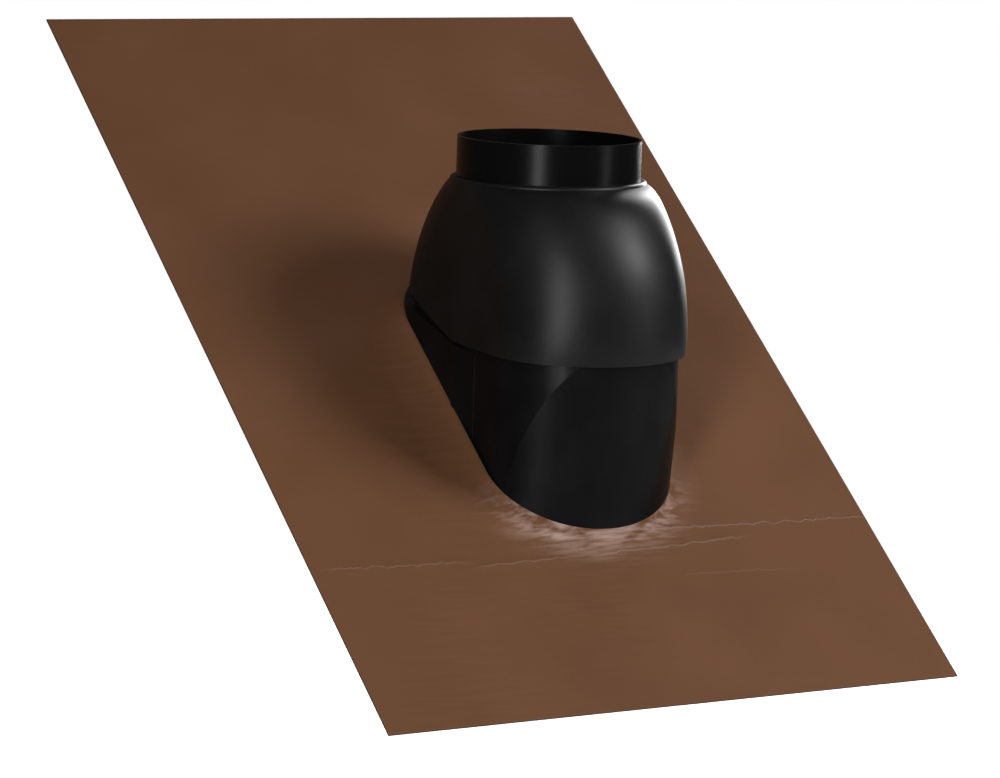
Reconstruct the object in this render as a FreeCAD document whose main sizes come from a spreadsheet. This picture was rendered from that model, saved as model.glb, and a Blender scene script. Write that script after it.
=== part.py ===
import FreeCAD, Part
import math
import os

from FreeCAD import Placement, Rotation, Vector

# Pipe flashing boot for a pitched roof: a soft sheet that is dressed over the tiles, a lower body
# that is bonded into it, and a hood with the pipe collar, which tilts on the lower body to the
# pitch of the roof. Z is the pipe's axis, X runs across the roof and Y runs up the slope. The
# origin is where the pipe's axis meets the top face of the sheet.

os.makedirs("parts", exist_ok=True)
doc = FreeCAD.newDocument("pipe_flashing_boot")

# ---------------------------------------------------------------- sizes, millimetres and degrees
driving = [
    ("pipeBore", 166.0, "inside diameter of the collar"),
    ("collarWall", 2.3, "wall of the collar"),
    ("collarHeight", 37.0, "height of the collar above the shoulder"),
    ("shoulderLevel", 225.0, "height of the hood's shoulder above the sheet on the pipe's axis"),
    ("shoulderLedge", 5.6, "ledge between the collar and the shoulder's edge"),
    ("shoulderRound", 3.0, "rounding of the shoulder's edge"),
    ("shoulderTuck", 0.5, "how far the top of the drum ends inside the shoulder ring"),
    ("shoulderDepth", 7.0, "depth of the straight shoulder ring"),
    ("hoodWall", 2.2, "wall of the hood"),
    ("hoodSwell", 6.7, "how far the hood's sides stand out beyond the shoulder"),
    ("hoodReach", 61.6, "how far the hood's drum stands out beyond the shoulder"),
    ("drumSetback", 4.5, "centre of the drum behind the pipe's axis, down the slope"),
    ("drumLevel", 103.6, "height of the drum's centre"),
    ("endDepth", 78.0, "depth of the hood's elliptic front and back at the lip"),
    ("skirtLevel", 50.0, "lowest section of the hood before the lip is trimmed"),
    ("lipLevel", 76.2, "height of the lip at its bend"),
    ("lipBend", 2.0, "distance of the lip's bend up the slope"),
    ("lipDip", 2.4, "fall of the lip towards the front"),
    ("lipRise", 23.0, "rise of the lip behind its bend"),
    ("lipSweep", 36.0, "steeper rise of the lip at the back, where it clears the sheet"),
    ("lipSweepStart", 98.0, "distance of that steeper stretch up the slope"),
    ("pivotLevel", 86.0, "height of the pivot"),
    ("pivotSetback", 5.0, "distance of the pivot down the slope"),
    ("studRadius", 5.0, "radius of the pivot stud"),
    ("studPlay", 0.3, "play between stud, socket and wall"),
    ("socketRim", 3.0, "width of the socket ring"),
    ("roofPitch", 38.0, "pitch at which the boot is set"),
    ("pitchFlattest", 30.0, "flattest roof that the hood can be set to"),
    ("pitchSteepest", 45.0, "steepest roof that the hood can be set to"),
    ("sheetWidth", 600.0, "width of the sheet"),
    ("sheetLength", 900.0, "length of the sheet up the slope"),
    ("sheetThick", 1.4, "thickness of the sheet"),
    ("sheetAhead", 347.0, "lower edge of the sheet in front of the origin, along the slope"),
    ("sheetOffset", 8.0, "middle of the sheet to the left of the pipe's axis"),
    ("neckRise", 14.0, "height to which the sheet is drawn up the body"),
    ("neckSpreadSide", 34.0, "width of the drawn zone beside the body"),
    ("neckSpreadFoot", 9.0, "width of the drawn zone at the foot"),
    ("neckSpreadHead", 20.0, "width of the drawn zone at the head"),
    ("neckPlay", 0.15, "glue gap between the sheet's edge and the body"),
    ("foldRise", 0.9, "height of the crease that crosses the sheet at the foot"),
    ("foldWidth", 7.0, "width of that crease"),
    ("foldRight", 147.0, "crease in front of the origin, right of the body"),
    ("foldLeft", 162.0, "crease in front of the origin, left of the body"),
    ("bodyWall", 2.4, "wall of the lower body"),
    ("bodyHalfWidth", 96.0, "half width of the lower body at the neck's edge"),
    ("bodyTaper", 0.3, "draft of the lower body's sides"),
    ("bodyLean", 7.6, "forward lean of the lower body"),
    ("footAhead", 151.4, "foot of the body in front of the origin, at the neck's edge"),
    ("headBehind", 190.0, "head of the body behind the origin, at the neck's edge"),
    ("footDepth", 80.0, "depth of the body's elliptic foot"),
    ("headDepth", 74.0, "depth of the body's elliptic head"),
    ("crownPlay", 1.0, "play between the cheeks of the lower body's crown and the hood"),
    ("crownSwing", 4.1, "room in front of and behind the crown for the hood's swing"),
    ("crownSetback", 5.4, "middle of the crown down the slope"),
    ("crownShift", 34.0, "how much higher the hood is as narrow as the crown"),
    ("crownTop", 186.0, "top of the crown before it is trimmed"),
    ("ledgeGap", 1.6, "gap between the rear lip at its lowest and the wider body below it"),
    ("crownLap", 9.0, "overlap that is left under the lip at each limit"),
    ("flangeWidth", 14.0, "flange beyond the drawn zone"),
    ("flangeThick", 2.0, "thickness of the flange"),
]
sizes = doc.addObject("Spreadsheet::Sheet", "sizes")
for row, (alias, value, note) in enumerate(driving, start=1):
    sizes.set("A%d" % row, alias)
    sizes.set("B%d" % row, repr(value))
    sizes.set("C%d" % row, note)
    sizes.setAlias("B%d" % row, alias)
doc.recompute()


def size(alias):
    return float(sizes.get(alias))


def bind(thing, **expressions):
    # Ties properties of an object to cells; two underscores stand for a dot.
    for name, expression in expressions.items():
        thing.setExpression(name.replace("__", "."), expression)
    return thing


def boolean(kind, label, base, tool):
    thing = doc.addObject("Part::" + kind, label)
    thing.Base = base
    thing.Tool = tool
    return thing


def fuse(label, shapes):
    thing = doc.addObject("Part::MultiFuse", label)
    thing.Shapes = shapes
    return thing


def loft(label, sections, ruled=False):
    thing = doc.addObject("Part::Loft", label)
    thing.Sections = sections
    thing.Solid = True
    thing.Ruled = ruled
    thing.MaxDegree = 5
    return thing


def feature(label, shape):
    thing = doc.addObject("Part::Feature", label)
    thing.Shape = shape
    return thing


def outline(halfWidth, footEnd, headEnd, footDepth, headDepth, level):
    # Closed outline in a plane: straight sides joined by half an ellipse at each end.
    footCentre = footEnd + footDepth
    headCentre = headEnd - headDepth
    corners = [Vector(halfWidth, footCentre, level), Vector(halfWidth, headCentre, level),
               Vector(-halfWidth, headCentre, level), Vector(-halfWidth, footCentre, level)]
    foot = halfEllipse(Vector(0, footCentre, level), halfWidth, footDepth, -1)
    head = halfEllipse(Vector(0, headCentre, level), halfWidth, headDepth, 1)
    return Part.Wire([foot, Part.makeLine(corners[0], corners[1]),
                      head, Part.makeLine(corners[2], corners[3])])


def halfEllipse(centre, across, depth, side):
    # Half an ellipse as a spline, run anticlockwise; side is -1 at the foot and 1 at the head.
    start = math.pi if side < 0 else 0.0
    if across >= depth:
        curve = Part.Ellipse(centre + Vector(across, 0, 0), centre + Vector(0, depth, 0), centre)
    else:
        curve = Part.Ellipse(centre + Vector(0, depth, 0), centre + Vector(-across, 0, 0), centre)
        start -= math.pi / 2
    return Part.ArcOfEllipse(curve, start, start + math.pi).toBSpline().toShape()


# ---------------------------------------------------------------- worked out from the sizes
pitch = math.radians(size("roofPitch"))
shoulderRadius = size("pipeBore") / 2 + size("collarWall") + size("shoulderLedge")
drumRadius = shoulderRadius + size("hoodReach")
domeTop = size("shoulderLevel") - size("shoulderRound")
onSheet = Placement(Vector(0, 0, 0), Rotation(Vector(1, 0, 0), size("roofPitch")))

# ---------------------------------------------------------------- hood
# The hood is a drum about a level axis across the roof. Level by level its outline follows the
# drum's circle, and it draws in to the round shoulder that carries the collar.
hoodFractions = [0.0, 0.15, 0.32, 0.50, 0.67, 0.82, 0.92, 1.0]
straightLeast = 1.0


def hoodShape(fraction):
    # Half width, and depth of the elliptic front and back, from the skirt (0) to the shoulder (1).
    return (shoulderRadius + size("hoodSwell") * (1 - fraction ** 2),
            size("endDepth") + math.sin(fraction * math.pi / 2) * (shoulderRadius - size("endDepth")))


def hoodSection(fraction, inset):
    level = size("skirtLevel") + fraction * (domeTop - size("skirtLevel"))
    reach = math.sqrt(drumRadius ** 2 - (level - size("drumLevel")) ** 2)
    front = -size("drumSetback") - reach
    back = -size("drumSetback") + reach
    halfWidth, depth = hoodShape(fraction)
    if fraction == 1:
        halfWidth = shoulderRadius - size("shoulderTuck")
        front = -halfWidth
        back = halfWidth
    depth = min(depth, (back - front - straightLeast) / 2)
    return outline(halfWidth - inset, front + inset, back - inset, depth - inset, depth - inset, level)


def hoodLoft(label, inset):
    sections = [feature("%s_section_%d" % (label, number), hoodSection(fraction, inset))
                for number, fraction in enumerate(hoodFractions)]
    return loft(label, sections)


dome = hoodLoft("hood_outside", 0.0)
domeRoom = hoodLoft("hood_inside", size("hoodWall"))
domeRoom.Placement = Placement(Vector(0, 0, -size("hoodWall")), Rotation())

shoulder = bind(doc.addObject("Part::Cylinder", "shoulder_ring"),
                Radius="sizes.pipeBore / 2 + sizes.collarWall + sizes.shoulderLedge",
                Height="sizes.shoulderDepth",
                Placement__Base__z="sizes.shoulderLevel - sizes.shoulderDepth")
collar = bind(doc.addObject("Part::Cylinder", "collar_outside"),
              Radius="sizes.pipeBore / 2 + sizes.collarWall",
              Height="sizes.collarHeight + sizes.shoulderDepth",
              Placement__Base__z="sizes.shoulderLevel - sizes.shoulderDepth")
bore = bind(doc.addObject("Part::Cylinder", "collar_bore"),
            Radius="sizes.pipeBore / 2",
            Height="sizes.collarHeight + 4 * sizes.shoulderDepth",
            Placement__Base__z="sizes.shoulderLevel - 3 * sizes.shoulderDepth")
doc.recompute()
softShoulder = doc.addObject("Part::Fillet", "shoulder_rounded")
softShoulder.Base = shoulder
shoulderEdge = [number for number, edge in enumerate(shoulder.Shape.Edges, start=1)
                if abs(edge.CenterOfMass.z - size("shoulderLevel")) < 1e-6
                and abs(edge.Length - 2 * math.pi * shoulderRadius) < 1e-3]
softShoulder.Edges = [(number, size("shoulderRound"), size("shoulderRound")) for number in shoulderEdge]

hoodSolid = fuse("hood_solid", [dome, softShoulder, collar])
hoodShell = boolean("Cut", "hood_shell", hoodSolid, domeRoom)
hoodBored = boolean("Cut", "hood_bored", hoodShell, bore)


def lipHeight(reach):
    # Height of the lip at a distance up the slope: a slight fall in front of its bend, two rises behind it.
    if reach <= size("lipBend"):
        return size("lipLevel") + (reach - size("lipBend")) * math.tan(math.radians(size("lipDip")))
    middle = min(reach, size("lipSweepStart")) - size("lipBend")
    back = max(reach - size("lipSweepStart"), 0)
    return (size("lipLevel") + middle * math.tan(math.radians(size("lipRise")))
            + back * math.tan(math.radians(size("lipSweep"))))


def lipTrim():
    # Everything below the lip.
    far = 2 * drumRadius
    below = size("skirtLevel") - drumRadius
    stops = [-far, size("lipBend"), size("lipSweepStart"), far]
    points = [(-far, below)] + [(reach, lipHeight(reach)) for reach in stops] + [(far, below)]
    corners = [Vector(-drumRadius, y, z) for y, z in points]
    face = Part.Face(Part.makePolygon(corners + corners[:1]))
    return face.extrude(Vector(2 * drumRadius, 0, 0))


hoodTrimmed = boolean("Cut", "hood_trimmed", hoodBored, feature("lip_trim", lipTrim()))

# The sockets that hold the lower body's studs stand on the inside of the hood's cheeks.
cheekFraction = (size("pivotLevel") - size("skirtLevel")) / (domeTop - size("skirtLevel"))
crownFraction = (size("drumLevel") + size("crownShift") - size("skirtLevel")) / (domeTop - size("skirtLevel"))
cheek = hoodShape(cheekFraction)[0] - size("hoodWall")
bodyAtPivot = hoodShape(crownFraction)[0] - size("hoodWall") - size("crownPlay")
socketDepth = cheek - bodyAtPivot - size("studPlay")
sockets = []
for side, name in ((-1, "left"), (1, "right")):
    ring = bind(doc.addObject("Part::Cylinder", "socket_%s" % name),
                Radius="sizes.studRadius + sizes.studPlay + sizes.socketRim",
                Placement__Base__y="-sizes.pivotSetback", Placement__Base__z="sizes.pivotLevel")
    ring.Height = socketDepth + size("hoodWall") / 2
    hole = bind(doc.addObject("Part::Cylinder", "socket_hole_%s" % name),
                Radius="sizes.studRadius + sizes.studPlay",
                Placement__Base__y="-sizes.pivotSetback", Placement__Base__z="sizes.pivotLevel")
    hole.Height = socketDepth
    for part in (ring, hole):
        part.Placement = Placement(Vector(side * (cheek - socketDepth), -size("pivotSetback"),
                                          size("pivotLevel")),
                                   Rotation(Vector(0, 1, 0), 90 * side))
    sockets.append(boolean("Cut", "socket_ring_%s" % name, ring, hole))
hood = fuse("hood", [hoodTrimmed] + sockets)

# ---------------------------------------------------------------- lower body
# A leaning tube whose outline lies parallel to the sheet, with a crown that is round about a
# level axis so that the hood can slide over it, and a flat flange under the sheet.
leanShift = math.tan(pitch - math.radians(size("bodyLean")))
sideDraft = math.tan(math.radians(size("bodyTaper")))
flangeUnder = -size("sheetThick") - size("flangeThick")
crownHigh = size("crownTop") * math.cos(pitch) + drumRadius


def bodySection(level, inset):
    rise = level - size("neckRise")
    shift = rise * leanShift
    return outline(size("bodyHalfWidth") - rise * sideDraft - inset,
                   -size("footAhead") + shift + inset, size("headBehind") + shift - inset,
                   size("footDepth") - inset, size("headDepth") - inset, level)


def bodyTube(label, lowest, inset):
    sections = [feature("%s_foot" % label, bodySection(lowest, inset)),
                feature("%s_top" % label, bodySection(crownHigh, inset))]
    for section in sections:
        section.Placement = onSheet
    return loft(label, sections, ruled=True)


def lipPoint(reach, level, turn):
    # Where a point of the lip goes when the hood is turned about its pivot.
    y = reach + size("pivotSetback")
    z = level - size("pivotLevel")
    turn = math.radians(turn)
    return (y * math.cos(turn) - z * math.sin(turn) - size("pivotSetback"),
            y * math.sin(turn) + z * math.cos(turn) + size("pivotLevel"))


def underLip(label, drop):
    # Everything below the rear lip at its lowest tilt, where the body may be wider than its crown.
    turn = size("roofPitch") - size("pitchSteepest")
    stops = [lipPoint(reach, lipHeight(reach), turn)
             for reach in (size("lipBend"), size("lipSweepStart"), 2 * drumRadius)]
    points = ([(stops[0][0], -2 * drumRadius)] + [(y, z - drop) for y, z in stops]
              + [(stops[-1][0], -2 * drumRadius)])
    corners = [Vector(-drumRadius, y, z) for y, z in points]
    return feature(label, Part.Face(Part.makePolygon(corners + corners[:1])).extrude(
        Vector(2 * drumRadius, 0, 0)))


def crownSection(level, inset):
    # The hood's inside a little higher up, where it is narrower, so that the crown clears it at any tilt.
    fraction = min((level + size("crownShift") - size("skirtLevel")) / (domeTop - size("skirtLevel")), 1)
    halfWidth, depth = hoodShape(fraction)
    inset += size("hoodWall") + size("crownPlay")
    radius = drumRadius - inset - size("crownSwing")
    reach = math.sqrt(radius ** 2 - (level - size("drumLevel")) ** 2)
    return outline(halfWidth - inset, -size("crownSetback") - reach, -size("crownSetback") + reach,
                   depth - inset, depth - inset, level)


def crownBlock(label, inset):
    # The crown above the drum's middle, over a block that runs down past the foot.
    levels = [size("drumLevel") + step * (size("crownTop") - size("drumLevel")) / 4 for step in range(5)]
    crown = loft(label + "_crown", [feature("%s_section_%d" % (label, number), crownSection(level, inset))
                                    for number, level in enumerate(levels)])
    foot = Part.Face(crownSection(size("drumLevel"), inset))
    block = feature(label + "_block", foot.extrude(Vector(0, 0, -2 * drumRadius)))
    return fuse(label, [crown, block, underLip(label + "_under_lip", size("ledgeGap") + inset)])


bodyOutside = boolean("Common", "body_outside", bodyTube("body_tube", flangeUnder, 0.0),
                      crownBlock("crown", 0.0))
bodyInside = boolean("Common", "body_inside",
                     bodyTube("body_room", flangeUnder - size("bodyWall"), size("bodyWall")),
                     crownBlock("crown_room", size("bodyWall")))


def crownTrim():
    # The crown stops on a sloping plane that leaves a lap under the lip at both limits.
    frontReach = -size("drumSetback") - drumRadius
    backReach = drumRadius - size("drumSetback")
    front = lipPoint(frontReach, lipHeight(frontReach), size("roofPitch") - size("pitchSteepest"))
    back = lipPoint(backReach, lipHeight(backReach), size("roofPitch") - size("pitchFlattest"))
    slope = math.atan2(back[1] - front[1], back[0] - front[0])
    cut = doc.addObject("Part::Box", "crown_trim")
    cut.Length = 4 * drumRadius
    cut.Width = 4 * drumRadius
    cut.Height = 2 * drumRadius
    lift = size("crownLap") / math.cos(slope)
    corner = Vector(-2 * drumRadius, front[0], front[1] + lift)
    turn = Rotation(Vector(1, 0, 0), math.degrees(slope))
    cut.Placement = Placement(corner - turn.multVec(Vector(0, drumRadius, 0)), turn)
    return cut


def neckOutline(share, level, inset):
    # Outline of the drawn zone; share runs from 1 in the flat sheet to 0 at the body.
    shift = (level - size("neckRise")) * leanShift
    draft = (level - size("neckRise")) * sideDraft
    side = share * size("neckSpreadSide") + size("neckPlay") - inset
    foot = share * size("neckSpreadFoot") + size("neckPlay") - inset
    head = share * size("neckSpreadHead") + size("neckPlay") - inset
    return outline(size("bodyHalfWidth") - draft + side,
                   -size("footAhead") + shift - foot, size("headBehind") + shift + head,
                   size("footDepth") + foot, size("headDepth") + head, level)


flangeSpread = 1 + size("flangeWidth") / size("neckSpreadSide")
flangeFace = Part.Face(neckOutline(flangeSpread, flangeUnder, 0.0))
flange = feature("flange_plate", flangeFace.extrude(Vector(0, 0, size("flangeThick"))))
flange.Placement = onSheet

studs = []
for side, name in ((-1, "left"), (1, "right")):
    stud = bind(doc.addObject("Part::Cylinder", "stud_%s" % name), Radius="sizes.studRadius")
    stud.Height = cheek - size("studPlay") - bodyAtPivot + size("bodyWall") / 2
    stud.Placement = Placement(Vector(side * (bodyAtPivot - size("bodyWall") / 2),
                                      -size("pivotSetback"), size("pivotLevel")),
                               Rotation(Vector(0, 1, 0), 90 * side))
    studs.append(stud)

bodySolid = fuse("body_solid", [bodyOutside, flange])
bodyHollow = boolean("Cut", "body_hollow", bodySolid, bodyInside)
bodyTrimmed = boolean("Cut", "body_trimmed", bodyHollow, crownTrim())
lowerBody = fuse("lower_body", [bodyTrimmed] + studs)

# ---------------------------------------------------------------- flashing sheet
# One soft sheet, drawn up round the body in a flared neck, with a crease across it at the foot.
plate = bind(doc.addObject("Part::Box", "sheet_plate"),
             Length="sizes.sheetWidth", Width="sizes.sheetLength", Height="sizes.sheetThick")
plate.Placement = onSheet.multiply(Placement(
    Vector(-size("sheetWidth") / 2 - size("sheetOffset"), -size("sheetAhead"), -size("sheetThick")),
    Rotation()))

neckPower = 1.9
neckSteps = [-0.1, 0.12, 0.35, 0.62, 1.0]


def neckShare(step):
    return (1 - step) ** neckPower


def neckSections(label, thickness):
    made = []
    for number, step in enumerate(neckSteps):
        slope = math.atan2(size("neckRise"),
                           neckPower * (1 - min(step, 0.9)) ** (neckPower - 1) * size("neckSpreadSide"))
        level = step * size("neckRise") - thickness * math.cos(slope)
        inset = thickness * math.sin(slope)
        section = feature("%s_%d" % (label, number), neckOutline(neckShare(step), level, inset))
        section.Placement = onSheet
        made.append(section)
    return made


neckOutside = loft("neck_outside", neckSections("neck_out", 0.0))
doc.recompute()
# The room under the neck, and the opening that the body passes through.
neckInside = loft("neck_inside", neckSections("neck_in", size("sheetThick")))
passage = Part.makeLoft([neckOutline(0.0, -3 * size("sheetThick"), 0.0),
                         neckOutline(0.0, 2 * size("neckRise"), 0.0)], True, True)
opening = feature("neck_opening", passage)
opening.Placement = onSheet


def fold(name, side, ahead):
    # A low ridge from the neck to one edge of the sheet.
    half = size("foldWidth") / 2
    start = side * size("bodyHalfWidth") * 0.35
    end = side * size("sheetWidth") / 2 - size("sheetOffset")
    points = [Vector(start, -ahead - half, -size("sheetThick") / 2),
              Vector(start, -ahead, size("foldRise")),
              Vector(start, -ahead + half, -size("sheetThick") / 2)]
    ridge = Part.Face(Part.makePolygon(points + points[:1])).extrude(Vector(end - start, 0, 0))
    made = feature("fold_" + name, ridge)
    made.Placement = onSheet
    return made


sheetSolid = fuse("sheet_solid", [plate, neckOutside, fold("right", 1, size("foldRight")),
                                  fold("left", -1, size("foldLeft"))])
sheetDrawn = boolean("Cut", "sheet_drawn", sheetSolid, neckInside)
flashingSheet = boolean("Cut", "flashing_sheet", sheetDrawn, opening)

# ---------------------------------------------------------------- check and write
doc.recompute()
for thing in doc.Objects:
    if "Invalid" in thing.State or "Error" in thing.State:
        raise RuntimeError("%s is %s" % (thing.Label, thing.State))
for thing in (flashingSheet, lowerBody, hood):
    shape = thing.Shape
    if shape.isNull() or not shape.isValid() or len(shape.Solids) != 1:
        raise RuntimeError("%s: valid %s, %d solids" % (thing.Label, shape.isValid(), len(shape.Solids)))
    shape.exportStep("parts/%s.step" % thing.Label)
    box = shape.BoundBox
    print("%-15s %9.0f mm3  x %.1f..%.1f  y %.1f..%.1f  z %.1f..%.1f"
          % (thing.Label, shape.Volume, box.XMin, box.XMax, box.YMin, box.YMax, box.ZMin, box.ZMax))
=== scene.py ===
import math

import bpy
import numpy as np
from mathutils import Matrix, Vector


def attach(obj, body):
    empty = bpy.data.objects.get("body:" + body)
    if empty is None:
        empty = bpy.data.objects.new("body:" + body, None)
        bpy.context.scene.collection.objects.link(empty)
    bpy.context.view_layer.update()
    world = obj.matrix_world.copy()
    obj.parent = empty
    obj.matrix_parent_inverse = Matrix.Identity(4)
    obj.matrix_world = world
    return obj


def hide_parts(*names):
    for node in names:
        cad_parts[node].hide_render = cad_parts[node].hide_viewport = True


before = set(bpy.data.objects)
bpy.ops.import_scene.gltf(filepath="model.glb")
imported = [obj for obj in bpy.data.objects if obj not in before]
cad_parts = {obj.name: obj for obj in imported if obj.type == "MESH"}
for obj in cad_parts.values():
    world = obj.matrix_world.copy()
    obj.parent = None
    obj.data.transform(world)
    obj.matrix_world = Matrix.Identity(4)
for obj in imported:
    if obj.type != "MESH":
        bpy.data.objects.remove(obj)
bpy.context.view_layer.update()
print("frame loaded:", sorted(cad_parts))

scene = bpy.context.scene
scene.view_settings.view_transform = "Standard"


# ---------------------------------------------------------------- small helpers
def linear(hexColour):
    # sRGB hex to linear light: (c + 0.055) / 1.055 to the power 2.4, or c / 12.92 in the darks
    parts = [int(hexColour[i:i + 2], 16) / 255 for i in (1, 3, 5)]
    return tuple(c / 12.92 if c <= 0.04045 else ((c + 0.055) / 1.055) ** 2.4 for c in parts) + (1.0,)


def newMaterial(name):
    material = bpy.data.materials.new(name)
    material.use_nodes = True
    material.node_tree.nodes.clear()
    return material, material.node_tree


def add(tree, kind, settings=None, **links):
    # one node: settings are properties or inputs by name or number, links are input = output socket;
    # a link called _0 goes to input number 0
    node = tree.nodes.new(kind)
    for key, value in (settings or {}).items():
        if hasattr(node, key):
            setattr(node, key, value)
        else:
            node.inputs[int(key) if key.isdigit() else key].default_value = value
    for key, source in links.items():
        key = key.replace("_", " ")
        tree.links.new(source, node.inputs[int(key[1:]) if key[1:].isdigit() else key])
    return node


def ramp(tree, source, stops):
    node = add(tree, "ShaderNodeValToRGB", Fac=source)
    while len(node.color_ramp.elements) < len(stops):
        node.color_ramp.elements.new(0.5)
    for element, (place, colour) in zip(node.color_ramp.elements, stops):
        element.position = place
        element.color = colour if isinstance(colour, tuple) else (colour, colour, colour, 1)
    return node.outputs["Color"]


def smooth(x, low, high):
    # 0 below low, 1 above high, an S between: 3t^2 - 2t^3
    t = np.clip((x - low) / (high - low), 0, 1)
    return t * t * (3 - 2 * t)


def gridMesh(name, points, closedAcross):
    # points is rows x columns x 3; faces join neighbours, and the last column to the first if closed
    rows, columns = points.shape[:2]
    across = columns if closedAcross else columns - 1
    r, c = np.meshgrid(np.arange(rows - 1), np.arange(across), indexing="ij")
    near, far = r * columns + c, r * columns + (c + 1) % columns
    faces = np.stack([near, far, far + columns, near + columns], -1).reshape(-1, 4)
    mesh = bpy.data.meshes.new(name)
    mesh.vertices.add(rows * columns)
    mesh.vertices.foreach_set("co", points.reshape(-1).astype(np.float32))
    mesh.loops.add(faces.size)
    mesh.loops.foreach_set("vertex_index", faces.reshape(-1).astype(np.int32))
    mesh.polygons.add(len(faces))
    mesh.polygons.foreach_set("loop_start", np.arange(0, faces.size, 4, dtype=np.int32))
    mesh.polygons.foreach_set("use_smooth", np.ones(len(faces), bool))
    mesh.update(calc_edges=True)
    mesh.validate()
    thing = bpy.data.objects.new(name, mesh)
    scene.collection.objects.link(thing)
    return thing


# ---------------------------------------------------------------- flashing sheet
# millimetres; x across the roof, s up the slope, h off the sheet
sheet = {
    "pitch": 38.0, "width": 600.0, "length": 900.0, "ahead": 347.0, "offset": 8.0, "thick": 1.4,
    "bodyHalfWidth": 96.0, "footAhead": 151.4, "headBehind": 190.0, "footDepth": 80.0, "headDepth": 74.0,
    "lean": 30.4, "draft": 0.3, "play": 0.2,
    "neckRise": 14.0, "neckSide": 40.0, "neckFoot": 14.0, "neckHead": 27.0, "neckPower": 0.5,
    "neckFade": 1.5, "around": 520, "neckRows": 34, "neckCrowding": 1.8, "flatRows": 190,
    "flatCrowding": 1.15, "seed": 7,
    # sums of sines: how many, their lengths, how far they slant off the slope in radians, their height
    "slack": {"count": 9, "lengths": (120, 340), "slant": 0.9, "high": 0.55},
    "crinkle": {"count": 16, "lengths": (6, 18), "slant": 0.16, "high": 0.07},
    "gathered": {"count": 14, "lengths": (5, 12), "slant": 0.30, "high": 0.15},
    # pinched lines left by dressing the sheet, each from one (x, s) to another
    "creases": [{"start": (62, -146), "end": (288, -150), "half": 1.3, "wander": 1.6, "high": 1.0},
                {"start": (-10, -170), "end": (150, -162), "half": 1.5, "wander": 1.0, "high": 0.7},
                {"start": (-290, -161), "end": (-150, -166), "half": 1.5, "wander": 1.6, "high": 0.45},
                {"start": (-140, -173), "end": (-40, -169), "half": 1.5, "wander": 1.2, "high": 0.6},
                {"start": (60, -200), "end": (190, -205), "half": 1.6, "wander": 1.6, "high": 0.2}],
}
pitch = math.radians(sheet["pitch"])
upSlope = np.array([0.0, math.cos(pitch), math.sin(pitch)])
offSheet = np.array([0.0, -math.sin(pitch), math.cos(pitch)])


def bodyLoop(turn, side, foot, head, level):
    # the body's outline at a level off the sheet, a stadium whose ends are half ellipses, pushed out
    # by side, foot and head
    rise = level - sheet["neckRise"]
    shift = rise * math.tan(math.radians(sheet["lean"]))
    half = sheet["bodyHalfWidth"] - rise * math.tan(math.radians(sheet["draft"])) + side
    low, high = -sheet["footAhead"] + shift - foot, sheet["headBehind"] + shift + head
    footDepth, headDepth = sheet["footDepth"] + foot, sheet["headDepth"] + head
    footCentre, headCentre = low + footDepth, high - headDepth
    # turn runs 0..4: right side, head, left side, foot, one unit each
    part = np.floor(turn).astype(int) % 4
    t = turn - np.floor(turn)
    angle = t * math.pi
    x = np.select([part == 0, part == 1, part == 2, part == 3],
                  [half + 0 * t, half * np.cos(angle), -half + 0 * t, -half * np.cos(angle)])
    s = np.select([part == 0, part == 1, part == 2, part == 3],
                  [footCentre + (headCentre - footCentre) * t, headCentre + headDepth * np.sin(angle),
                   headCentre + (footCentre - headCentre) * t, footCentre - footDepth * np.sin(angle)])
    return x, s


def rimLoop(turn):
    # the sheet's own rectangle, walked so that each quarter faces the same quarter of the body
    left, right = -sheet["width"] / 2 - sheet["offset"], sheet["width"] / 2 - sheet["offset"]
    low, high = -sheet["ahead"], sheet["length"] - sheet["ahead"]
    part = np.floor(turn).astype(int) % 4
    t = turn - np.floor(turn)
    x = np.select([part == 0, part == 1, part == 2, part == 3],
                  [right + 0 * t, right + (left - right) * t, left + 0 * t, left + (right - left) * t])
    s = np.select([part == 0, part == 1, part == 2, part == 3],
                  [low + (high - low) * t, high + 0 * t, high + (low - high) * t, low + 0 * t])
    return x, s


def waves(x, s, rng, kind):
    # high / sqrt(count) times the sum of sines of random length, tilt and phase
    total = np.zeros_like(x)
    for _ in range(kind["count"]):
        length = rng.uniform(*kind["lengths"])
        tilt = rng.normal(0, kind["slant"])
        phase = rng.uniform(0, 2 * math.pi)
        total += np.sin(2 * math.pi * (s * math.cos(tilt) + x * math.sin(tilt)) / length + phase)
    return kind["high"] * total / math.sqrt(kind["count"])


def swell(x, s, line):
    # the low fold that carries a pinched line: high / (1 + (distance / width)^2), fading at its ends
    (x0, s0), (x1, s1) = line["start"], line["end"]
    centre = s0 + (s1 - s0) * (np.clip(x, x0, x1) - x0) / (x1 - x0)
    ends = smooth(x, x0 - 14, x0 + 8) * (1 - smooth(x, x1 - 8, x1 + 14))
    return line["high"] * ends / (1 + ((s - centre) / (2.4 * line["half"])) ** 2)


def relief(x, s, nearBody):
    # height off the flat sheet: long slack waves, crinkles that run across, and the dressed creases
    rng = np.random.default_rng(sheet["seed"])
    slack = waves(x, s, rng, sheet["slack"])
    patches = 0.5 + 0.5 * np.sin(x / 61 + 1.3 * np.sin(s / 47)) * np.sin(s / 73 + 1.1 * np.sin(x / 58))
    crinkle = waves(x, s, rng, sheet["crinkle"]) * (0.35 + 0.9 * patches)
    gathered = waves(x, s, rng, sheet["gathered"]) * nearBody
    folds = sum(swell(x, s, line) for line in sheet["creases"])
    return slack, crinkle + gathered + folds


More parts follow.
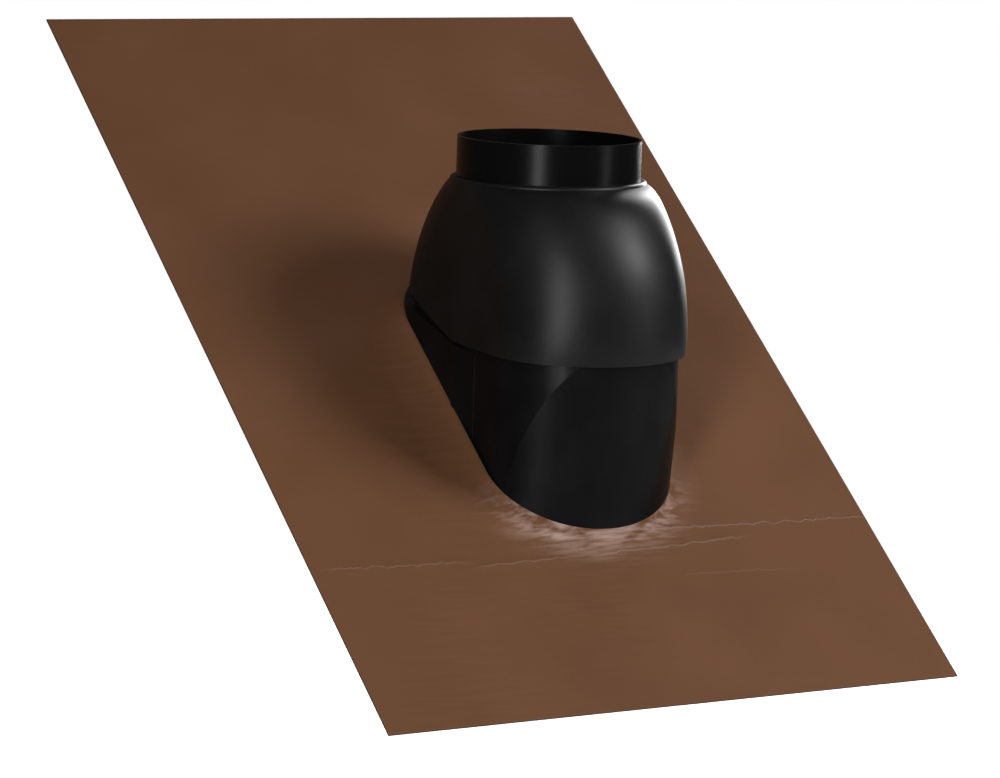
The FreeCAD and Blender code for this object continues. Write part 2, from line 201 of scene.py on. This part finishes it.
def makeSheet():
    turn = 4 * np.arange(sheet["around"]) / sheet["around"]
    # neck: share runs 0 at the body to 1 on the flat sheet; its height is the rise times
    # (1 - share^neckPower)^neckFade, steep at the body and level where it meets the sheet
    rows = []
    for share in np.linspace(0, 1, sheet["neckRows"]) ** sheet["neckCrowding"]:
        level = sheet["neckRise"] * (1 - share ** sheet["neckPower"]) ** sheet["neckFade"]
        side, foot, head = (share * sheet[key] + sheet["play"]
                            for key in ("neckSide", "neckFoot", "neckHead"))
        x, s = bodyLoop(turn, side, foot, head, level)
        rows.append(np.stack([x, s, np.full_like(x, level)], -1))
    neck = np.array(rows)
    # flat part: straight lines from the neck's outer loop to the rim, closer together near the neck
    rimX, rimS = rimLoop(turn)
    go = (np.linspace(0, 1, sheet["flatRows"] + 1)[1:] ** sheet["flatCrowding"])[:, None]
    startX, startS = neck[-1, :, 0], neck[-1, :, 1]
    flat = np.stack([startX + (rimX - startX) * go, startS + (rimS - startS) * go, 0 * go * rimX], -1)
    grid = np.concatenate([neck, flat])
    x, s, h = grid[..., 0], grid[..., 1], grid[..., 2]
    # distance outside the body's outline, near enough: how far along the row from the neck's inner edge
    out = np.hypot(x - neck[0, :, 0], s - neck[0, :, 1])
    footward = smooth(-s, 40, 150)
    nearBody = np.exp(-(out / 26) ** 2) * (0.25 + 1.0 * footward)
    slack, fine = relief(x, s, nearBody)
    held = smooth(out, 2, 30)    # the edge at the body doesn't move
    edge = np.minimum.reduce([x - x.min(), x.max() - x, s - s.min(), s.max() - s])
    h = h + slack * held * smooth(edge, 0, 60)
    h = h + fine * smooth(out, 0.5, 7) * (0.35 + 0.65 * smooth(edge, 0, 20))
    across = np.array([1.0, 0, 0])
    points = (x[..., None] * across + s[..., None] * upSlope + h[..., None] * offSheet) / 1000
    thing = gridMesh("flashing_sheet_dressed", points[:, ::-1], True)
    near = thing.data.attributes.new("nearBody", "FLOAT", "POINT")   # drives the paler coat round the foot: partly real stretched coat, partly painted highlight
    # painted highlight: a pale share round the foot, partly the real stretched coat, partly the glint where
    # the sheet rises to the body
    stretchAndPaintedGlint = np.exp(-(out / 20) ** 2) * smooth(-s, 70, 160)
    near.data.foreach_set("value", stretchAndPaintedGlint[:, ::-1].reshape(-1).astype(np.float32))
    solidify = thing.modifiers.new("thickness", "SOLIDIFY")
    solidify.thickness = sheet["thick"] / 1000
    solidify.offset = -1
    solidify.material_offset_rim = 1
    return thing


def pinchedLine(tree, x, s, line, place):
    # its height on the line, 0 away from it: it wanders by a 1-D noise along x and fades at both ends
    (x0, s0), (x1, s1) = line["start"], line["end"]
    slope = (s1 - s0) / (x1 - x0)
    crook = 13.0    # mm from one bend to the next
    along = add(tree, "ShaderNodeMath", {"operation": "ADD", "1": place}, _0=x)
    noise = add(tree, "ShaderNodeTexNoise", {"noise_dimensions": "1D", "Scale": 1000 / crook, "Detail": 2.5},
                W=along.outputs[0])
    straight = add(tree, "ShaderNodeMath", {"operation": "MULTIPLY_ADD", "1": slope,
                                            "2": (s0 - slope * x0) / 1000}, _0=x)
    aside = add(tree, "ShaderNodeMath", {"operation": "SUBTRACT", "1": 0.5}, _0=noise.outputs[0])
    centre = add(tree, "ShaderNodeMath", {"operation": "MULTIPLY_ADD", "1": 4 * line["wander"] / 1000},
                 _0=aside.outputs[0], _2=straight.outputs[0])
    offLine = add(tree, "ShaderNodeMath", {"operation": "SUBTRACT"}, _0=s, _1=centre.outputs[0])
    away = add(tree, "ShaderNodeMath", {"operation": "ABSOLUTE"}, _0=offLine.outputs[0])
    ridge = add(tree, "ShaderNodeMapRange", {"interpolation_type": "SMOOTHSTEP", "1": 0.0,
                                             "2": line["half"] / 1000, "3": line["high"], "4": 0.0},
                _0=away.outputs[0])
    into = add(tree, "ShaderNodeMapRange", {"interpolation_type": "SMOOTHSTEP", "1": (x0 - 12) / 1000,
                                            "2": (x0 + 14) / 1000}, _0=x)
    out = add(tree, "ShaderNodeMapRange", {"interpolation_type": "SMOOTHSTEP", "1": (x1 + 12) / 1000,
                                           "2": (x1 - 30) / 1000}, _0=x)
    ends = add(tree, "ShaderNodeMath", {"operation": "MULTIPLY"}, _0=into.outputs[0], _1=out.outputs[0])
    made = add(tree, "ShaderNodeMath", {"operation": "MULTIPLY"}, _0=ridge.outputs[0], _1=ends.outputs[0])
    return made.outputs[0]


def sheetMaterial():
    # coated soft lead substitute, rolled and dressed by hand: a matt brown coat with a slight sheen,
    # painted paler round the foot and along the pinched lines: partly the real rubbed, stretched coat, partly
    # painted highlight
    look = {"coat": "#6e4b35", "coatDark": "#66452f", "paleCoatAndHighlight": "#b39a8f", "crinkle": 3.4, "streak": 3.4,
            "grain": 0.8}
    material, tree = newMaterial("coated_soft_sheet_rolled")
    place = add(tree, "ShaderNodeTexCoord").outputs["Object"]
    # the pattern's own axes: x across the roof, y up the slope
    flat = add(tree, "ShaderNodeMapping", {"vector_type": "POINT", "Rotation": (-pitch, 0, 0)},
               Vector=place).outputs[0]
    parts = add(tree, "ShaderNodeSeparateXYZ", Vector=flat)
    long = add(tree, "ShaderNodeMapping", {"Scale": (0.14, 1, 1)}, Vector=flat).outputs[0]
    crinkles = add(tree, "ShaderNodeTexNoise", {"Scale": 1000 / look["crinkle"] / 2, "Detail": 4.0,
                                                "Roughness": 0.55, "Distortion": 0.5}, Vector=long)
    drawn = add(tree, "ShaderNodeMapping", {"Scale": (0.09, 1, 1)}, Vector=flat).outputs[0]
    streaks = add(tree, "ShaderNodeTexNoise", {"Scale": 1000 / look["streak"] / 2, "Detail": 5.0,
                                               "Roughness": 0.6, "Distortion": 0.2}, Vector=drawn)
    grain = add(tree, "ShaderNodeTexNoise", {"Scale": 1000 / look["grain"] / 2, "Detail": 2.0}, Vector=flat)
    patches = add(tree, "ShaderNodeTexNoise", {"Scale": 7.0, "Detail": 3.0}, Vector=flat)
    # the share of paler coat round the foot, partly real stretching and partly painted highlight
    near = add(tree, "ShaderNodeAttribute", {"attribute_name": "nearBody"})
    tone = ramp(tree, patches.outputs["Fac"],
                [(0.3, linear(look["coatDark"])), (0.7, linear(look["coat"]))])
    # streaky paler coat round the foot: partly real rubbing, partly painted glints
    rubAndPaintedGlint = add(tree, "ShaderNodeMath", {"operation": "MULTIPLY"}, _0=near.outputs["Fac"],
              _1=ramp(tree, streaks.outputs["Fac"], [(0.42, 0.0), (0.66, 0.95)]))
    pinched = None
    for index, line in enumerate(sheet["creases"]):
        made = pinchedLine(tree, parts.outputs[0], parts.outputs[1], line, 3.7 * index)
        pinched = made if pinched is None else add(tree, "ShaderNodeMath", {"operation": "MAXIMUM"},
                                                   _0=pinched, _1=made).outputs[0]
    # paler coat on the pinched lines' crests and round the foot: partly real rubbed coat, partly painted
    # highlight
    paleCoatAndPaintedHighlight = add(tree, "ShaderNodeMath", {"operation": "MULTIPLY_ADD", "1": 0.3, "use_clamp": True},
                _0=pinched, _2=rubAndPaintedGlint.outputs[0])
    # mixes in the pale colour, which is partly the coat's own and partly painted highlight
    colour = add(tree, "ShaderNodeMix", {"data_type": "RGBA", "7": linear(look["paleCoatAndHighlight"])},
                 _0=paleCoatAndPaintedHighlight.outputs[0], _6=tone)
    low = add(tree, "ShaderNodeBump", {"Strength": 0.22, "Distance": 0.0005}, Height=crinkles.outputs["Fac"])
    fine = add(tree, "ShaderNodeBump", {"Strength": 0.10, "Distance": 0.0002}, Height=grain.outputs["Fac"],
               Normal=low.outputs[0])
    lines = add(tree, "ShaderNodeBump", {"Strength": 1.0, "Distance": 0.0008}, Height=pinched,
                Normal=fine.outputs[0])
    rough = ramp(tree, crinkles.outputs["Fac"], [(0.3, 0.50), (0.7, 0.60)])
    shader = add(tree, "ShaderNodeBsdfPrincipled", {"IOR": 1.48, "Specular IOR Level": 0.08},
                 Base_Color=colour.outputs[2], Roughness=rough, Normal=lines.outputs[0])
    add(tree, "ShaderNodeOutputMaterial", Surface=shader.outputs[0])
    return material


def cutEdgeMaterial():
    # the sheet's sheared edge, where the coat stops: dull dark metal with fine burrs
    look = {"metal": "#2e211a", "metalPale": "#3d2c22", "burr": 0.9}
    material, tree = newMaterial("soft_sheet_sheared_edge")
    place = add(tree, "ShaderNodeTexCoord").outputs["Object"]
    burrs = add(tree, "ShaderNodeTexNoise", {"Scale": 1000 / look["burr"] / 2, "Detail": 2.0}, Vector=place)
    tone = ramp(tree, burrs.outputs["Fac"],
                [(0.35, linear(look["metal"])), (0.7, linear(look["metalPale"]))])
    shader = add(tree, "ShaderNodeBsdfPrincipled", {"Roughness": 0.6, "Specular IOR Level": 0.3},
                 Base_Color=tone)
    add(tree, "ShaderNodeOutputMaterial", Surface=shader.outputs[0])
    return material


dressedSheet = makeSheet()
dressedSheet.data.materials.append(sheetMaterial())
dressedSheet.data.materials.append(cutEdgeMaterial())
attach(dressedSheet, "base")
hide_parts("flashing_sheet")
print("sheet made:", len(dressedSheet.data.polygons), "faces")


# ---------------------------------------------------------------- lower body and hood
def bodyMaterial():
    # black polypropylene, injection moulded in a smooth tool: a soft gloss with slight sink waves
    look = {"plastic": "#0d0d0e", "worn": "#121213", "waveLength": 38.0, "grain": 1.1}
    material, tree = newMaterial("black_polypropylene_smooth")
    place = add(tree, "ShaderNodeTexCoord").outputs["Object"]
    wave = add(tree, "ShaderNodeTexNoise", {"Scale": 1000 / look["waveLength"], "Detail": 1.0}, Vector=place)
    grain = add(tree, "ShaderNodeTexNoise", {"Scale": 1000 / look["grain"], "Detail": 2.0}, Vector=place)
    tall = add(tree, "ShaderNodeMapping", {"Scale": (1, 1, 0.08)}, Vector=place).outputs[0]
    scuffs = add(tree, "ShaderNodeTexNoise", {"Scale": 180.0, "Detail": 3.0, "Distortion": 0.3}, Vector=tall)
    tone = ramp(tree, wave.outputs["Fac"], [(0.35, linear(look["plastic"])), (0.7, linear(look["worn"]))])
    rough = ramp(tree, scuffs.outputs["Fac"], [(0.35, 0.30), (0.75, 0.38)])
    soft = add(tree, "ShaderNodeBump", {"Strength": 0.25, "Distance": 0.0006}, Height=wave.outputs["Fac"])
    fine = add(tree, "ShaderNodeBump", {"Strength": 0.06, "Distance": 0.0002}, Height=grain.outputs["Fac"],
               Normal=soft.outputs[0])
    shader = add(tree, "ShaderNodeBsdfPrincipled", {"IOR": 1.49, "Specular IOR Level": 0.10},
                 Base_Color=tone, Roughness=rough, Normal=fine.outputs[0])
    add(tree, "ShaderNodeOutputMaterial", Surface=shader.outputs[0])
    return material


def hoodMaterial():
    # black polypropylene from a spark-eroded tool: a fine even grain; the collar is turned smoother
    look = {"plastic": "#101010", "pale": "#151515", "collar": "#0b0b0c", "collarLevel": 0.2252,
            "collarRough": 0.25, "sheen": 0.26, "collarSheen": 0.10, "grain": 0.8}
    material, tree = newMaterial("black_polypropylene_grained")
    place = add(tree, "ShaderNodeTexCoord").outputs["Object"]
    grain = add(tree, "ShaderNodeTexNoise", {"Scale": 1000 / look["grain"], "Detail": 2.0, "Roughness": 0.6},
                Vector=place)
    patches = add(tree, "ShaderNodeTexNoise", {"Scale": 22.0, "Detail": 3.0}, Vector=place)
    height = add(tree, "ShaderNodeSeparateXYZ", Vector=place).outputs[2]
    onCollar = add(tree, "ShaderNodeMath", {"operation": "GREATER_THAN", "1": look["collarLevel"]},
                   _0=height).outputs[0]
    tone = ramp(tree, patches.outputs["Fac"], [(0.35, linear(look["plastic"])), (0.7, linear(look["pale"]))])
    matt = ramp(tree, patches.outputs["Fac"], [(0.3, 0.40), (0.7, 0.45)])
    rough = add(tree, "ShaderNodeMix", {"data_type": "FLOAT", "3": look["collarRough"]}, _0=onCollar, _2=matt)
    sheen = add(tree, "ShaderNodeMapRange", {"3": look["sheen"], "4": look["collarSheen"]}, _0=onCollar)
    colour = add(tree, "ShaderNodeMix", {"data_type": "RGBA", "7": linear(look["collar"])},
                 _0=onCollar, _6=tone)
    fine = add(tree, "ShaderNodeBump", {"Strength": 0.22, "Distance": 0.00025}, Height=grain.outputs["Fac"])
    shader = add(tree, "ShaderNodeBsdfPrincipled", {"IOR": 1.49}, Base_Color=colour.outputs[2],
                 Roughness=rough.outputs[0], Specular_IOR_Level=sheen.outputs[0], Normal=fine.outputs[0])
    add(tree, "ShaderNodeOutputMaterial", Surface=shader.outputs[0])
    return material


# thin walls over the body's sides at the hinge line, where the solid body steps out and has an upright
# slot: they only cover the slot from outside and ease the step, the solid has nothing like them, and the
# slot still shows from inside; millimetres
fairing = {"frontWidth": 92.7, "rearWidth": 96.2, "frontY": -34.0, "rearY": 1.6, "frontTop": 70.0,
           "rearTop": 73.4, "under": 2.0, "skin": 0.12, "thick": 0.9, "rows": 40, "columns": 48}


def makeFairing(side):
    # half width = front + (rear - front) * S(y), from just under the sheet's neck up to the top line
    y, up = np.meshgrid(np.linspace(fairing["frontY"], fairing["rearY"], fairing["columns"]),
                        np.linspace(0, 1, fairing["rows"]))
    x = fairing["frontWidth"] + fairing["skin"] + (fairing["rearWidth"] - fairing["frontWidth"]) * smooth(
        y, fairing["frontY"], fairing["rearY"] - 1.5)
    top = np.interp(y, [fairing["frontY"], fairing["rearY"]], [fairing["frontTop"], fairing["rearTop"]])
    low = y * math.tan(pitch) - fairing["under"]
    points = np.stack([side * x, y, low + (top - low) * up], -1) / 1000
    thing = gridMesh("body_side_fairing_" + ("left" if side < 0 else "right"), points[:, ::side], False)
    solidify = thing.modifiers.new("thickness", "SOLIDIFY")
    solidify.thickness = fairing["thick"] / 1000
    solidify.offset = -1
    return thing


plastic = {"lower_body": bodyMaterial(), "hood": hoodMaterial()}
for nodeName, made in plastic.items():
    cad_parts[nodeName].data.materials.clear()
    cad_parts[nodeName].data.materials.append(made)
for side in (-1, 1):
    sideWall = makeFairing(side)
    sideWall.data.materials.append(plastic["lower_body"])
    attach(sideWall, "base")
print("plastic pieces finished")


# ---------------------------------------------------------------- floor, light and camera
studio = {"floorLevel": -0.75, "floorSize": 60.0, "floorGrey": 0.62, "floorGlow": 0.96,
          "white": 1.0, "dim": 0.07, "aim": (0, 0, 0.1),
          "cameraTurn": -31.1614, "cameraTilt": 8.6547, "cameraRoll": -1.9328,
          "cameraPlace": (-2.03223, -3.28742, 0.61402), "lens": 151.3476, "sensor": 36}


def makeFloor():
    points = np.array([[(-1, -1, 0), (1, -1, 0)], [(-1, 1, 0), (1, 1, 0)]], float) * studio["floorSize"] / 2
    points[..., 2] = studio["floorLevel"]
    floor = gridMesh("floor", points, False)
    material, tree = newMaterial("pale_matt_floor")
    ray = add(tree, "ShaderNodeLightPath")
    shown = add(tree, "ShaderNodeMath", {"operation": "MAXIMUM"}, _0=ray.outputs["Is Camera Ray"],
                _1=ray.outputs["Is Transmission Ray"])
    matt = add(tree, "ShaderNodeBsdfDiffuse", {"Color": (studio["floorGrey"],) * 3 + (1,)})
    glow = add(tree, "ShaderNodeEmission", {"Color": (1, 1, 1, 1), "Strength": studio["floorGlow"]})
    both = add(tree, "ShaderNodeAddShader", _0=matt.outputs[0], _1=glow.outputs[0])
    mixed = add(tree, "ShaderNodeMixShader", _0=shown.outputs[0], _1=matt.outputs[0], _2=both.outputs[0])
    add(tree, "ShaderNodeOutputMaterial", Surface=mixed.outputs[0])
    floor.data.materials.append(material)


def makeWorld():
    world = bpy.data.worlds.new("studio")
    world.use_nodes = True
    tree = world.node_tree
    tree.nodes.clear()
    ray = add(tree, "ShaderNodeLightPath")
    shown = add(tree, "ShaderNodeMath", {"operation": "MAXIMUM"}, _0=ray.outputs["Is Camera Ray"],
                _1=ray.outputs["Is Transmission Ray"])
    white = add(tree, "ShaderNodeBackground", {"Color": (1, 1, 1, 1), "Strength": studio["white"]})
    dim = add(tree, "ShaderNodeBackground", {"Color": (1, 1, 1, 1), "Strength": studio["dim"]})
    mixed = add(tree, "ShaderNodeMixShader", _0=shown.outputs[0], _1=dim.outputs[0], _2=white.outputs[0])
    add(tree, "ShaderNodeOutputWorld", Surface=mixed.outputs[0])
    scene.world = world


def lamp(name, turn, tilt, distance, width, height, power):
    # area lamp placed by its turn from the -Y side and its tilt above level, facing the aim point
    a, e = math.radians(turn), math.radians(tilt)
    towards = Vector((math.sin(a) * math.cos(e), -math.cos(a) * math.cos(e), math.sin(e)))
    data = bpy.data.lights.new(name, "AREA")
    data.shape = "RECTANGLE"
    data.size, data.size_y, data.energy = width, height, power
    thing = bpy.data.objects.new(name, data)
    thing.location = Vector(studio["aim"]) + towards * distance
    thing.rotation_euler = towards.to_track_quat("Z", "Y").to_euler()
    scene.collection.objects.link(thing)


def makeCamera():
    a, e, r = (math.radians(studio[key]) for key in ("cameraTurn", "cameraTilt", "cameraRoll"))
    back = Vector((math.sin(a) * math.cos(e), -math.cos(a) * math.cos(e), math.sin(e)))
    right = Vector((math.cos(a), math.sin(a), 0))
    up = back.cross(right)
    rolledRight = math.cos(r) * right - math.sin(r) * up
    rolledUp = math.sin(r) * right + math.cos(r) * up
    data = bpy.data.cameras.new("camera")
    data.sensor_width = studio["sensor"]
    data.lens = studio["lens"]
    data.clip_end = 200
    camera = bpy.data.objects.new("camera", data)
    camera.matrix_world = Matrix.Translation(studio["cameraPlace"]) @ Matrix(
        (rolledRight, rolledUp, back)).transposed().to_4x4()
    scene.collection.objects.link(camera)
    scene.camera = camera


makeFloor()
makeWorld()
makeCamera()
lamp("key_right", 46, 35, 2.4, 0.75, 1.1, 40)
lamp("front_strip", -44, 10, 2.4, 0.34, 2.1, 36)
lamp("side_strip", 44, 2, 2.6, 0.22, 1.3, 5)
lamp("rim_right", 126, 14, 3.0, 0.5, 1.6, 72)
print("studio ready")
